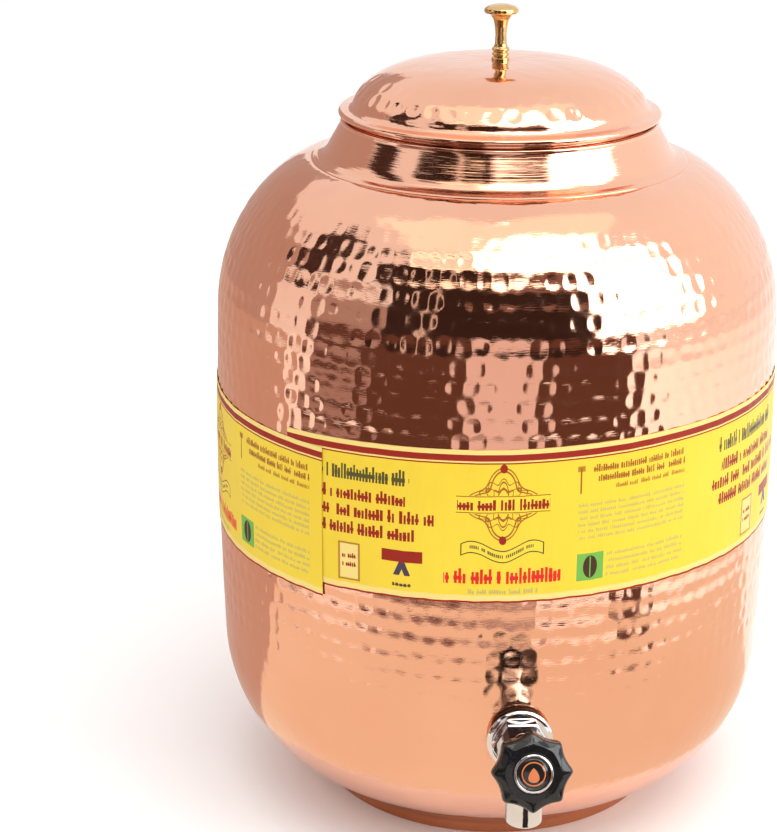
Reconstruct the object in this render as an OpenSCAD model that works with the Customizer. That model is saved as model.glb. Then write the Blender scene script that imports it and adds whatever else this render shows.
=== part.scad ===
// Lidded copper water pot with a screw-down tap.
// Origin: centre of the foot ring, on the surface the pot stands on. +Z is up, and the tap faces -Y.

/* [Pot] */
// Largest radius of the hammered body
body_r = 107.2; // [95:0.1:120]
// Radius where the barrelled wall meets the shoulder and the bottom curve
wall_end_r = 106; // [94:0.1:119]
// Thickness of the copper sheet
sheet_t = 1; // [0.8:0.1:1.5]
// Height where the bottom curve meets the wall
wall_low_z = 62; // [50:1:75]
// Height where the wall meets the shoulder
wall_high_z = 192; // [180:1:200]
// Height of the shoulder's opening, where the neck stands
shoulder_z = 249; // [240:1:260]
// Radius of the shoulder's opening
shoulder_r = 69.4; // [66:0.1:75]

/* [Foot] */
// Height of the foot ring
foot_h = 11.2; // [8:0.1:16]
// Outer radius of the foot ring on the ground
foot_low_r = 67.6; // [62:0.1:72]
// Outer radius of the foot ring at the body
foot_top_r = 72; // [68:0.1:78]
// Height of the foot ring's straight band
foot_band_h = 4; // [2:0.5:7]
// Wall thickness of the foot ring
foot_t = 1.5; // [1:0.1:3]

/* [Neck] */
// Height of the mouth's rolled lip
neck_top_z = 264.4; // [260:0.1:272]
// Outer radius of the neck just under its lip
neck_top_r = 58.8; // [56:0.1:62]
// Outer radius of the neck where it meets its bead
neck_low_r = 66.4; // [64:0.1:68]
// Outer radius of the bead that stands on the shoulder
bead_r = 70.3; // [70:0.1:74]

/* [Label] */
// Height of the label's lower edge
label_z = 115; // [90:0.5:125]
// Height of the paper band
label_h = 56.5; // [40:0.5:65]
// Thickness of the paper
label_t = 0.35; // [0.2:0.05:0.6]

/* [Lid] */
// Radius of the lid's rolled rim
lid_r = 59.8; // [59:0.1:64]
// Radius where the dome meets its rim
dome_r = 54.6; // [50:0.1:56]
// Height of the dome's foot above the ground
dome_z = 269.2; // [266:0.1:276]
// Rise of the dome
dome_rise = 15.6; // [10:0.1:30]
// Depth of the skirt below the lid's rim
skirt_depth = 9; // [5:0.5:14]

/* [Lid knob] */
// Radius of the knob's cap
knob_cap_r = 6.4; // [5:0.1:10]
// Height of the knob above the dome
knob_h = 20.3; // [16:0.1:30]
// Radius of the knob's stem
knob_stem_r = 1.85; // [1.6:0.05:3]

/* [Tap] */
// Height of the tap's inlet above the ground
tap_z = 62.2; // [55:0.1:75]
// Radius of the threaded inlet shank
shank_r = 6.6; // [6:0.1:8]
// Radius of the wall flange
flange_r = 11.8; // [10:0.1:14]
// Distance from the pot's axis to the middle of the valve chamber
chamber_y = 124.2; // [120:0.1:130]
// Tilt of the valve's spindle above the horizontal, in degrees
spindle_tilt = 20; // [0:1:45]
// Outer radius of the spout
spout_r = 6.5; // [6:0.1:8]
// Radius of the spout's water way
spout_bore_r = 4.5; // [3.5:0.1:5]
// Drop of the spout below the inlet
spout_drop = 23; // [18:0.5:35]

/* [Tap handle] */
// Radius at the handle's lobes
handle_r = 14; // [12:0.1:18]
// Number of lobes on the handle
lobes = 8; // [5:1:12]
// Thickness of the handle
handle_t = 9; // [7:0.1:12]
// Travel of the valve as the spindle makes one turn
valve_lift = 3; // [2:0.1:3]

/* [Hidden] */
$fn = 96;

copper = [0.86, 0.52, 0.36];
dark_copper = [0.62, 0.30, 0.18];
brass = [0.80, 0.62, 0.28];
chrome = [0.82, 0.82, 0.84];
black = [0.09, 0.09, 0.10];
rubber = [0.15, 0.15, 0.15];
paper = [0.93, 0.84, 0.30];

gap = 0.05;                                     // play of a running or slipped fit
wall_mid_z = (wall_low_z + wall_high_z) / 2;
wall_half = (wall_high_z - wall_low_z) / 2;
curve_steps = 14;
wall_steps = 8;
bottom_power = 1.227;                           // fullness of the bottom curve
shoulder_power = 1.29;                          // fullness of the shoulder
dome_flat = 3.81;                               // flatness of the lid's crown
dome_drop = 0.7236;                             // roundness of the lid's edge

// Radius of the barrelled wall at a height.
function wall_r(z) = body_r - (body_r - wall_end_r) * pow((z - wall_mid_z) / wall_half, 2);

// Outer outline of the hammered body, from the foot up to the neck.
function bottom_pt(a) = [foot_top_r + (wall_end_r - foot_top_r) * pow(sin(a), bottom_power),
                         foot_h + (wall_low_z - foot_h) * (1 - cos(a))];
function shoulder_pt(a) = [shoulder_r + (wall_end_r - shoulder_r) * pow(sin(a), shoulder_power),
                           shoulder_z - (shoulder_z - wall_high_z) * (1 - cos(a))];
function wall_pt(s) = let (z = wall_low_z + s * (wall_high_z - wall_low_z)) [wall_r(z), z];

body_outline = concat(
    [for (i = [0 : curve_steps - 1]) bottom_pt(90 * i / curve_steps)],
    [for (i = [0 : wall_steps]) wall_pt(i / wall_steps)],
    [for (i = [curve_steps - 1 : -1 : 0]) shoulder_pt(90 * i / curve_steps)]);

// Outline moved inwards by a distance, square to the way it runs.
function inward(pts, d) = let (n = len(pts)) [for (i = [0 : n - 1])
    let (a = pts[max(i - 1, 0)],
         b = pts[min(i + 1, n - 1)],
         way = (b - a) / norm(b - a))
    i == 0 ? pts[0] + [0, d] : i == n - 1 ? pts[i] - [0, d] : pts[i] + d * [-way[1], way[0]]];

function reversed(pts) = [for (i = [len(pts) - 1 : -1 : 0]) pts[i]];

// Round of revolution from a closed outline of [radius, height] points.
module turned(pts) rotate_extrude() polygon(pts);

// Plain ring from one height to another.
module ring(r_out, r_in, z0, z1) {
    difference() {
        translate([0, 0, z0]) cylinder(r = r_out, h = z1 - z0);
        translate([0, 0, z0 - 1]) cylinder(r = r_in, h = z1 - z0 + 2);
    }
}

// Hexagonal block from one height to another, with a corner upwards.
module hexagon(across_flats, z0, z1) {
    translate([0, 0, z0]) rotate([0, 0, 30]) cylinder(d = across_flats / cos(30), h = z1 - z0, $fn = 6);
}

// Cone that follows the pot's wall around the tap, drawn in from the outside by a distance.
module wall_cone(inset, spread) {
    reach = 14;
    translate([0, 0, tap_z - reach])
        cylinder(r1 = wall_out - inset - spread, r2 = wall_out - inset + spread, h = 2 * reach, $fn = 720);
}

// ---- Pot ----

// The body is brazed from three spun sheets: a bowl that takes the tap, a wall and a shoulder.
bowl_end = curve_steps + 1;
wall_end = curve_steps + wall_steps;
body_end = len(body_outline) - 1;
body_inside = inward(body_outline, sheet_t);

// Sheet of the body between two points of its outline.
module spun_sheet(from, to) {
    turned(concat([for (i = [from : to]) body_outline[i]], [for (i = [to : -1 : from]) body_inside[i]]));
}

module pot_bottom() {
    color(copper) difference() {
        spun_sheet(0, bowl_end);
        tap_axis() cylinder(r = shank_r + 0.3, h = body_r + 20);
    }
}

module pot_wall() {
    color(copper) spun_sheet(bowl_end, wall_end);
}

module pot_shoulder() {
    color(copper) spun_sheet(wall_end, body_end);
}

module base_plate() {
    color(copper) translate([0, 0, foot_h]) cylinder(r = foot_top_r - gap, h = sheet_t);
}

module foot_ring() {
    color(dark_copper) turned([[foot_low_r - foot_t, 0], [foot_low_r, 0], [foot_low_r, foot_band_h],
                               [foot_top_r, foot_h], [foot_top_r - foot_t, foot_h],
                               [foot_low_r - foot_t, foot_band_h]]);
}

// The neck's outline runs from its spigot over the bead and up the flared wall.
bead_h = 3.6;
neck_outline = [[shoulder_r - gap, shoulder_z - 3], [shoulder_r - gap, shoulder_z], [bead_r - 0.4, shoulder_z],
                [bead_r, shoulder_z + 0.6], [bead_r - 0.3, shoulder_z + 1.5], [bead_r - 1.6, shoulder_z + 2.5],
                [neck_low_r + 0.9, shoulder_z + bead_h - 0.3], [neck_low_r, shoulder_z + bead_h]];
neck_steps = 6;
function neck_wall_pt(s) = [neck_low_r + (neck_top_r - neck_low_r) * (1.45 * s - 0.45 * s * s),
                            shoulder_z + bead_h + s * (neck_top_z - neck_lip_r - shoulder_z - bead_h)];
neck_lip_r = 0.8;

module neck_collar() {
    wall = [for (i = [1 : neck_steps]) neck_wall_pt(i / neck_steps)];
    inner_wall = [for (p = reversed(wall)) p - [sheet_t, 0]];
    color(copper) union() {
        turned(concat(neck_outline, wall, inner_wall,
                      [[neck_low_r - sheet_t, shoulder_z + bead_h],
                       [shoulder_r - 1.1, shoulder_z + 0.6], [shoulder_r - 1.1, shoulder_z - 3]]));
        rotate_extrude() translate([neck_top_r - 0.5, neck_top_z - neck_lip_r]) circle(r = neck_lip_r);
    }
}

module label_band() {
    steps = 6;
    heights = [for (i = [0 : steps]) label_z + label_h * i / steps];
    inner = [for (z = heights) [wall_r(z) + 0.02, z]];
    outer = [for (z = heights) [wall_r(z) + 0.02 + label_t, z]];
    color(paper) turned(concat(outer, reversed(inner)));
}

// ---- Lid ----

dome_steps = 12;
function dome_pt(s) = [dome_r * s, dome_z + dome_rise * pow(1 - pow(s, dome_flat), dome_drop)];
dome_top_z = dome_z + dome_rise;
roll_r = 1.2;
roll_z = neck_top_z + 0.4 + roll_r;
stud_r = 2;

module lid_dome() {
    crown = [for (i = [0 : dome_steps]) dome_pt(1 - pow(1 - i / dome_steps, 1.6))];
    groove = [[dome_r + 0.6, dome_z - 0.7], [lid_r - roll_r, roll_z + roll_r]];
    under_crown = [for (p = reversed(crown)) [p[0] * (dome_r - sheet_t) / dome_r, p[1] - sheet_t]];
    color(copper) difference() {
        union() {
            turned(concat(crown, groove, [[lid_r - roll_r, roll_z + roll_r - sheet_t],
                          [dome_r + 0.4, dome_z - 0.7 - sheet_t]], under_crown));
            rotate_extrude() translate([lid_r - roll_r, roll_z]) circle(r = roll_r);
        }
        translate([0, 0, dome_top_z - 5]) cylinder(r = stud_r + gap, h = 10);
    }
}

skirt_r = neck_top_r - sheet_t - 0.9;
skirt_top_z = dome_z - 0.7 - sheet_t - 0.65;

module lid_skirt() {
    color(copper) ring(skirt_r, skirt_r - sheet_t, skirt_top_z - skirt_depth, skirt_top_z);
}

nut_h = 3.2;
module lid_knob() {
    z = dome_top_z;
    cap = knob_cap_r;
    stem = knob_stem_r;
    color(brass) union() {
        turned([[0, z], [3.3, z], [3.3, z + 0.7], [2.6, z + 1.1], [2.6, z + 1.4], [3.1, z + 1.8], [3.1, z + 2.4],
                [2.6, z + 2.8], [2.6, z + 3.1], [3, z + 3.5], [3, z + 4.2], [2.3, z + 4.8], [stem, z + 5.8],
                [stem - 0.1, z + 9], [stem + 0.1, z + 12], [stem + 0.8, z + 14.8], [cap * 0.62, z + knob_h - 3.9],
                [cap * 0.95, z + knob_h - 3.2], [cap, z + knob_h - 2.4], [cap * 0.94, z + knob_h - 1.5],
                [cap * 0.75, z + knob_h - 0.7], [cap * 0.4, z + knob_h - 0.15], [0, z + knob_h]]);
        translate([0, 0, z - 5.4]) cylinder(r = stud_r, h = 5.5);
    }
}

washer_top_z = dome_top_z - sheet_t - gap;

module knob_washer() {
    color(brass) ring(5, stud_r + gap, washer_top_z - 1, washer_top_z);
}

module knob_nut() {
    top = washer_top_z - 1;
    color(brass) difference() {
        hexagon(7, top - nut_h, top);
        translate([0, 0, top - nut_h - 1]) cylinder(r = stud_r + gap, h = nut_h + 2);
    }
}

// ---- Tap ----

// Frame of the inlet: +Z leaves the pot square to its wall, and +Y is up.
module tap_axis() translate([0, 0, tap_z]) rotate([90, 0, 0]) children();

// Frame of the spindle: its origin is the middle of the valve chamber, and +Z runs out to the handle.
module spindle_axis() tap_axis() translate([0, 0, chamber_y]) rotate([-spindle_tilt, 0, 0]) children();

wall_out = 106.2;                               // where the pot's wall meets the tap's axis, outside
flange_back = wall_out + 2;
flange_front = flange_back + 1.8;
shank_end = wall_out - 13;
gasket_r = 10.8;
nut_back = wall_out - 10.2;
washer_back = nut_back + 5;
washer_front = washer_back + 1.2;
hex_front = flange_front + 4.6;
boss_r = 8;
boss_end = 10;
chamber_r = 5.5;
seat_s = -3.5;
seat_r = 3;
spout_shoulder_r = 7.6;
spout_shoulder_drop = 8.2;

module outer_gasket() {
    color(rubber) difference() {
        tap_axis() ring(gasket_r, shank_r + gap, wall_out - 2, flange_back);
        wall_cone(-0.05, 1.1);
    }
}

module wall_flange() {
    color(chrome) tap_axis() difference() {
        turned([[0, flange_back], [flange_r, flange_back], [flange_r, flange_back + 0.8],
                [flange_r - 0.6, flange_front - 0.3], [flange_r - 1.5, flange_front], [0, flange_front]]);
        translate([0, 0, flange_back - 1]) cylinder(r = shank_r + gap, h = 5);
    }
}

module tap_body() {
    color(chrome) difference() {
        union() {
            tap_axis() {
                translate([0, 0, shank_end]) cylinder(r = shank_r, h = flange_front + 1 - shank_end);
                intersection() {
                    hexagon(18.4, flange_front, hex_front);
                    turned([[0, flange_front], [9.9, flange_front], [10.6, flange_front + 0.8],
                            [10.6, hex_front - 0.8], [9.9, hex_front], [0, hex_front]]);
                }
                translate([0, 0, hex_front - 1]) cylinder(r = 7.4, h = chamber_y + 1 - hex_front);
                translate([0, 0, chamber_y]) rotate([90, 0, 0]) {
                    cylinder(r = spout_r, h = spout_drop);
                    cylinder(r = spout_shoulder_r, h = spout_shoulder_drop);
                }
                translate([0, 0, chamber_y]) sphere(r = 8.4);
            }
            spindle_axis() cylinder(r = boss_r, h = boss_end);
        }
        tap_axis() {
            translate([0, 0, shank_end - 1]) cylinder(r = 3.5, h = chamber_y - shank_end - 5);
            translate([0, 0, chamber_y]) rotate([90, 0, 0]) cylinder(r = spout_bore_r, h = spout_drop + 1);
        }
        spindle_axis() {
            translate([0, 0, seat_s]) cylinder(r = chamber_r, h = boss_end - seat_s + 1);
            translate([0, 0, seat_s - 5]) cylinder(r = seat_r, h = 6);
        }
    }
}

module inner_gasket() {
    color(rubber) intersection() {
        tap_axis() ring(gasket_r, shank_r + gap, washer_front, wall_out);
        wall_cone(sheet_t + 0.65, 0.8);
    }
}

module back_washer() {
    color(brass) tap_axis() ring(gasket_r - 0.4, shank_r + gap, washer_back, washer_front);
}

module back_nut() {
    color(brass) tap_axis() difference() {
        hexagon(18, nut_back, washer_back);
        translate([0, 0, nut_back - 1]) cylinder(r = shank_r + gap, h = 8);
    }
}

// ---- Headworks ----

spindle_r = 2.5;
tip_r = 1.5;
bonnet_low = 7.2;
seal_t = 0.8;
bonnet_top = 13.6;
oring_s = 8.5;
oring_r = 0.5;
clip_low = bonnet_top + 0.35;
handle_low = 15;
pocket_low = 20.9;
spindle_end = 20.2;

module bonnet() {
    color(chrome) spindle_axis() difference() {
        union() {
            translate([0, 0, bonnet_low]) cylinder(r = chamber_r - gap, h = boss_end - bonnet_low + seal_t + 0.5);
            hexagon(14.6, boss_end + seal_t, bonnet_top - 0.9);
            translate([0, 0, bonnet_top - 1.4]) cylinder(r = 5, h = 1.4);
        }
        translate([0, 0, bonnet_low - 1]) cylinder(r = spindle_r + gap, h = 12);
    }
}

module bonnet_seal() {
    color(rubber) spindle_axis() ring(7.4, chamber_r, boss_end, boss_end + seal_t);
}

jumper_low = seat_s + 1.5;
jumper_top = bonnet_low - 0.9 - valve_lift - 0.2;
tip_low = jumper_low + 0.5 + valve_lift + 0.2;

// The spindle turns in the bonnet; its lower tip is the screw that draws the valve off its seat.
module spindle() {
    groove_low = oring_s - oring_r;
    groove_top = oring_s + oring_r;
    collar_low = bonnet_low - 0.9;
    collar_top = bonnet_low - 0.3;
    color(brass) spindle_axis() difference() {
        turned([[0, tip_low], [tip_r, tip_low], [tip_r, collar_low], [3.2, collar_low], [3.2, collar_top],
                [spindle_r, collar_top], [spindle_r, groove_low], [spindle_r - 2 * oring_r, groove_low],
                [spindle_r - 2 * oring_r, groove_top], [spindle_r, groove_top], [spindle_r, clip_low],
                [spindle_r - 0.4, clip_low], [spindle_r - 0.4, clip_low + 0.6], [spindle_r, clip_low + 0.6],
                [spindle_r, spindle_end], [0, spindle_end]]);
        translate([0, 0, 13.5]) cylinder(r = 1.3, h = 10);
    }
}

module spindle_oring() {
    color(rubber) spindle_axis() rotate_extrude() translate([spindle_r - oring_r, oring_s]) circle(r = oring_r);
}

module spindle_clip() {
    color(chrome) spindle_axis() difference() {
        ring(4, spindle_r - 0.4, clip_low, clip_low + 0.6);
        translate([0, -1.3, clip_low - 1]) cube([5, 2.6, 3]);
    }
}

module valve_jumper() {
    color(brass) spindle_axis() difference() {
        union() {
            translate([0, 0, jumper_low]) cylinder(r = 4.9, h = 1.3);
            translate([0, 0, jumper_low]) cylinder(r = 3, h = jumper_top - jumper_low);
            translate([0, 0, jumper_low - 1]) cylinder(r = 1, h = 1);
        }
        translate([0, 0, jumper_low + 0.5]) cylinder(r = tip_r + gap, h = jumper_top - jumper_low);
    }
}

module valve_washer() {
    color(rubber) spindle_axis() ring(4.6, 1, seat_s + 0.02, seat_s + 1.5);
}

// ---- Handle ----

handle_top = handle_low + handle_t;
flute_r = 12;
flute_depth = 1.7;
ring_r = 6.5;

module handle_blank() {
    turned([[0, handle_low], [handle_r - 3, handle_low], [handle_r - 0.6, handle_low + 1.6],
            [handle_r, handle_low + 3.6], [handle_r - 0.3, handle_top - 3.2], [handle_r - 1.6, handle_top - 1.3],
            [handle_r - 4.4, handle_top - 0.2], [ring_r + 0.4, handle_top], [0, handle_top]]);
}

module tap_handle() {
    reach = handle_r - flute_depth + flute_r;
    color(black) spindle_axis() difference() {
        handle_blank();
        for (i = [0 : lobes - 1]) {
            rotate([0, 0, (i + 0.5) * 360 / lobes]) translate([reach, 0, handle_low - 1])
                cylinder(r = flute_r, h = handle_t + 2);
        }
        translate([0, 0, handle_low - 1]) cylinder(r = spindle_r, h = spindle_end - handle_low + 1);
        translate([0, 0, handle_low - 1]) cylinder(r = 1.7, h = handle_t + 2);
        translate([0, 0, pocket_low]) cylinder(r = ring_r, h = handle_t);
    }
}

module handle_ring() {
    color(chrome) spindle_axis() difference() {
        turned([[ring_r - 1.1, pocket_low], [ring_r, pocket_low], [ring_r, handle_top],
                [ring_r + 0.25, handle_top + 0.4], [ring_r, handle_top + 0.9],
                [ring_r - 0.5, handle_top + 1.1], [ring_r - 0.75, handle_top + 0.9], [ring_r - 0.75, pocket_low + 1.9],
                [ring_r - 1.1, pocket_low + 1.9]]);
    }
}

module handle_screw() {
    color(brass) spindle_axis() difference() {
        union() {
            translate([0, 0, 14]) cylinder(r = 1.3, h = pocket_low - 14);
            translate([0, 0, pocket_low]) cylinder(r = 2.7, h = 1.5);
        }
        translate([-3, -0.4, pocket_low + 0.8]) cube([6, 0.8, 2]);
    }
}

module handle_cap() {
    low = pocket_low + 1.9;
    r = ring_r - 0.75;
    rim = handle_top - 0.1;
    color(black) spindle_axis() turned([[0, low], [r, low], [r, rim], [r - 0.9, rim + 0.5], [r - 2.4, rim + 0.95],
                                        [r - 4, rim + 1.15], [0, rim + 1.2]]);
}

pot_bottom();
pot_wall();
pot_shoulder();
base_plate();
foot_ring();
neck_collar();
label_band();
lid_dome();
lid_skirt();
lid_knob();
knob_washer();
knob_nut();
outer_gasket();
wall_flange();
tap_body();
inner_gasket();
back_washer();
back_nut();
bonnet();
bonnet_seal();
spindle();
spindle_oring();
spindle_clip();
valve_jumper();
valve_washer();
tap_handle();
handle_ring();
handle_screw();
handle_cap();
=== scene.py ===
"""Looks of a lidded, hammered copper water pot with a screw-down tap.

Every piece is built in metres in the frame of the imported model: +Z is up the pot's axis, the foot stands on
z = 0 and the tap faces -Y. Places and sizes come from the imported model's nodes or are derived from them.
"""

import logging
import math
from dataclasses import dataclass
from enum import Enum
from typing import Optional, Sequence

import bmesh
import bpy
import numpy as np
from mathutils import Matrix, Vector


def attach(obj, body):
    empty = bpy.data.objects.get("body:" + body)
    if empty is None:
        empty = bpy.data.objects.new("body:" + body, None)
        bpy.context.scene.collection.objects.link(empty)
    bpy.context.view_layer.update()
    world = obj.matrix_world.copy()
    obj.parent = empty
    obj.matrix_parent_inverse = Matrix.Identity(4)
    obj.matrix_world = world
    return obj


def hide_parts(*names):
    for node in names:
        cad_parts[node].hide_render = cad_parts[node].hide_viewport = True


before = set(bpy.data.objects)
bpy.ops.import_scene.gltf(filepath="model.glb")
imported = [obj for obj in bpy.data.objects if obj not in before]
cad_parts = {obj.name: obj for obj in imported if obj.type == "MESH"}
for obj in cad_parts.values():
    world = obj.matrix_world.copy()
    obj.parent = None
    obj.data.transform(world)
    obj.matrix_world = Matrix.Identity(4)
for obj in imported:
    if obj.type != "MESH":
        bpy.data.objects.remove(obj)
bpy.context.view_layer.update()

MM = 0.001
TAP_HEIGHT = 62.2
SPINDLE_REACH = 124.2
SPINDLE_LEAN = 20.0
SHEET = 1.0
MERGE = 2e-6
PRINT_SPAN = 700.0
PAPER_HEIGHT = 56.3
LOG = logging.getLogger("copper_pot")
Outline = list[tuple[float, float]]


# ---------------------------------------------------------------------------------------------------------
# Node graphs
# ---------------------------------------------------------------------------------------------------------

class Graph:
    """Small helper that lays out the nodes of one material."""

    def __init__(self, name: str) -> None:
        """Start an empty material with a Principled surface.

        Args:
            name: name of the material.
        """
        self.material = bpy.data.materials.new(name)
        self.material.use_nodes = True
        self.tree = self.material.node_tree
        self.tree.nodes.clear()
        self.out = self.tree.nodes.new("ShaderNodeOutputMaterial")
        self.shader = self.tree.nodes.new("ShaderNodeBsdfPrincipled")
        self.tree.links.new(self.shader.outputs[0], self.out.inputs[0])

    def node(self, kind: str, **settings: object) -> bpy.types.Node:
        """Add a node and set its plain attributes.

        Args:
            kind: Blender's name of the node type.
            settings: attributes to set on the node.

        Returns:
            The new node.
        """
        made = self.tree.nodes.new(kind)
        for key, value in settings.items():
            setattr(made, key, value)
        return made

    def put(self, socket: bpy.types.NodeSocket, value: object) -> None:
        """Link a socket, or give a plain value, to an input.

        Args:
            socket: the input.
            value: an output socket, or a number or colour.
        """
        if isinstance(value, bpy.types.NodeSocket):
            self.tree.links.new(value, socket)
        else:
            socket.default_value = value

    def math(self, how: str, a: object, b: object = 0.0, c: object = 0.0, clamp: bool = False
             ) -> bpy.types.NodeSocket:
        """Add a Math node.

        Args:
            how: the operation, such as "MULTIPLY".
            a: first input.
            b: second input.
            c: third input.
            clamp: keep the result between 0 and 1.

        Returns:
            The result's socket.
        """
        made = self.node("ShaderNodeMath", operation=how, use_clamp=clamp)
        for socket, value in zip(made.inputs, (a, b, c)):
            self.put(socket, value)
        return made.outputs[0]

    def mix(self, factor: object, a: object, b: object, how: str = "MIX") -> bpy.types.NodeSocket:
        """Mix two colours.

        Args:
            factor: how much of the second colour.
            a: first colour.
            b: second colour.
            how: the blend type.

        Returns:
            The mixed colour's socket.
        """
        made = self.node("ShaderNodeMix", data_type="RGBA", blend_type=how)
        self.put(made.inputs["Factor"], factor)
        self.put(made.inputs[6], rgba(a))
        self.put(made.inputs[7], rgba(b))
        return made.outputs[2]

    def ramp(self, value: object, stops: Sequence[tuple[float, float]]) -> bpy.types.NodeSocket:
        """Map a value through a grey ramp.

        Args:
            value: the input.
            stops: pairs of position and level.

        Returns:
            The level's socket.
        """
        made = self.node("ShaderNodeValToRGB")
        elements = made.color_ramp.elements
        while len(elements) < len(stops):
            elements.new(0.5)
        for element, (place, level) in zip(elements, stops):
            element.position = place
            element.color = (level, level, level, 1)
        self.put(made.inputs[0], value)
        return made.outputs[0]

    def place(self, stretch: Sequence[float] = (1, 1, 1)) -> bpy.types.NodeSocket:
        """Object coordinates, stretched along each axis.

        Args:
            stretch: factor along X, Y and Z.

        Returns:
            The vector's socket.
        """
        coords = self.node("ShaderNodeTexCoord")
        mapping = self.node("ShaderNodeMapping")
        mapping.inputs["Scale"].default_value = stretch
        self.put(mapping.inputs[0], coords.outputs["Object"])
        return mapping.outputs[0]

    def noise(self, where: object, scale: float, detail: float = 3, rough: float = 0.5) -> bpy.types.NodeSocket:
        """Fractal noise.

        Args:
            where: the vector to read it at.
            scale: features per metre.
            detail: octaves.
            rough: how strong the small octaves are.

        Returns:
            The level's socket.
        """
        made = self.node("ShaderNodeTexNoise")
        self.put(made.inputs["Vector"], where)
        made.inputs["Scale"].default_value = scale
        made.inputs["Detail"].default_value = detail
        made.inputs["Roughness"].default_value = rough
        return made.outputs[0]

    def bump(self, height: object, depth: float, under: object = None, strength: float = 1.0
             ) -> bpy.types.NodeSocket:
        """Bump from a height.

        Args:
            height: level from 0 to 1.
            depth: metres that the level stands for.
            under: normal to start from.
            strength: how much of it is used.

        Returns:
            The normal's socket.
        """
        made = self.node("ShaderNodeBump")
        made.inputs["Strength"].default_value = strength
        made.inputs["Distance"].default_value = depth
        self.put(made.inputs["Height"], height)
        if under is not None:
            self.put(made.inputs["Normal"], under)
        return made.outputs[0]

    def surface(self, color: object, roughness: object, normal: object = None, metallic: float = 0.0,
                **sockets: float) -> bpy.types.Material:
        """Set the Principled surface and give the material.

        Args:
            color: base colour.
            roughness: roughness.
            normal: normal, if the surface has a relief.
            metallic: 1 for a metal.
            sockets: other plain values, by the socket's name with underscores.

        Returns:
            The finished material.
        """
        self.put(self.shader.inputs["Base Color"], rgba(color))
        self.put(self.shader.inputs["Roughness"], roughness)
        self.shader.inputs["Metallic"].default_value = metallic
        if normal is not None:
            self.put(self.shader.inputs["Normal"], normal)
        for name, value in sockets.items():
            self.shader.inputs[name.replace("_", " ")].default_value = value
        return self.material


def rgba(color: object) -> object:
    """Give a three-part colour its alpha; anything else passes through."""
    if isinstance(color, (tuple, list)) and len(color) == 3:
        return (*color, 1.0)
    return color


# ---------------------------------------------------------------------------------------------------------
# Finishes
# ---------------------------------------------------------------------------------------------------------

class Grain(Enum):
    """How a sheet of copper was worked."""

    HAMMERED = "hammered"
    TURNED = "turned"


@dataclass(frozen=True)
class CopperFinish:
    """Polished copper, hammered or spun.

    Args:
        name: name of the material.
        color: colour of the clean metal.
        deep: colour where the metal is a little darker.
        roughness: roughness of the polish.
        grain: how the sheet was worked.
    """

    name: str
    color: tuple[float, float, float] = (0.93, 0.53, 0.37)
    deep: tuple[float, float, float] = (0.86, 0.43, 0.28)
    roughness: float = 0.07
    grain: Grain = Grain.HAMMERED

    def material(self) -> bpy.types.Material:
        """Build the copper: soft clouds of colour, the worked grain and fine polishing scratches."""
        g = Graph(self.name)
        where = g.place()
        clouds = g.ramp(g.noise(where, 16, 4), ((0.35, 0), (0.7, 1)))
        smears = g.ramp(g.noise(g.place((1, 1, 5)), 60, 3), ((0.3, 0), (0.8, 1)))
        color = g.mix(g.math("MULTIPLY", clouds, 0.6), self.color, self.deep)
        rough = g.math("MULTIPLY_ADD", smears, 0.05, self.roughness)
        if self.grain is Grain.HAMMERED:
            peen = g.node("ShaderNodeTexVoronoi", feature="SMOOTH_F1")
            g.put(peen.inputs["Vector"], where)
            peen.inputs["Scale"].default_value = 240
            relief = g.bump(peen.outputs["Distance"], 0.00007)
            relief = g.bump(g.noise(where, 60, 2), 0.0005, relief)
            normal = g.bump(g.noise(g.place((1, 1, 9)), 300, 2), 0.00003, relief)
        else:
            lines = g.noise(g.place((0.6, 0.6, 40)), 42, 3, 0.6)
            relief = g.bump(lines, 0.00006)
            normal = g.bump(g.noise(where, 30, 2), 0.0004, relief)
        return g.surface(color, rough, normal, metallic=1.0)


@dataclass(frozen=True)
class BrassFinish:
    """Turned and polished brass, a little darker in random patches of tarnish."""

    name: str
    color: tuple[float, float, float] = (0.74, 0.50, 0.22)
    roughness: float = 0.12

    def material(self) -> bpy.types.Material:
        """Build the brass with turning lines and light tarnish."""
        g = Graph(self.name)
        tarnish = g.ramp(g.noise(g.place(), 180, 4), ((0.4, 0), (0.75, 1)))
        color = g.mix(g.math("MULTIPLY", tarnish, 0.55), self.color, (0.48, 0.30, 0.10))
        rough = g.math("MULTIPLY_ADD", tarnish, 0.12, self.roughness)
        lines = g.noise(g.place((0.5, 0.5, 30)), 120, 2)
        return g.surface(color, rough, g.bump(lines, 0.00003), metallic=1.0)


@dataclass(frozen=True)
class ChromeFinish:
    """Chrome plate over a casting, faintly wavy and smudged."""

    name: str
    color: tuple[float, float, float] = (0.80, 0.79, 0.80)
    roughness: float = 0.05

    def material(self) -> bpy.types.Material:
        """Build the chrome with smudges and the slight waves of a polished casting."""
        g = Graph(self.name)
        smudge = g.ramp(g.noise(g.place(), 140, 4), ((0.45, 0), (0.8, 1)))
        color = g.mix(g.math("MULTIPLY", smudge, 0.35), self.color, (0.60, 0.58, 0.58))
        rough = g.math("MULTIPLY_ADD", smudge, 0.10, self.roughness)
        return g.surface(color, rough, g.bump(g.noise(g.place(), 160, 2), 0.00012), metallic=1.0)


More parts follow.
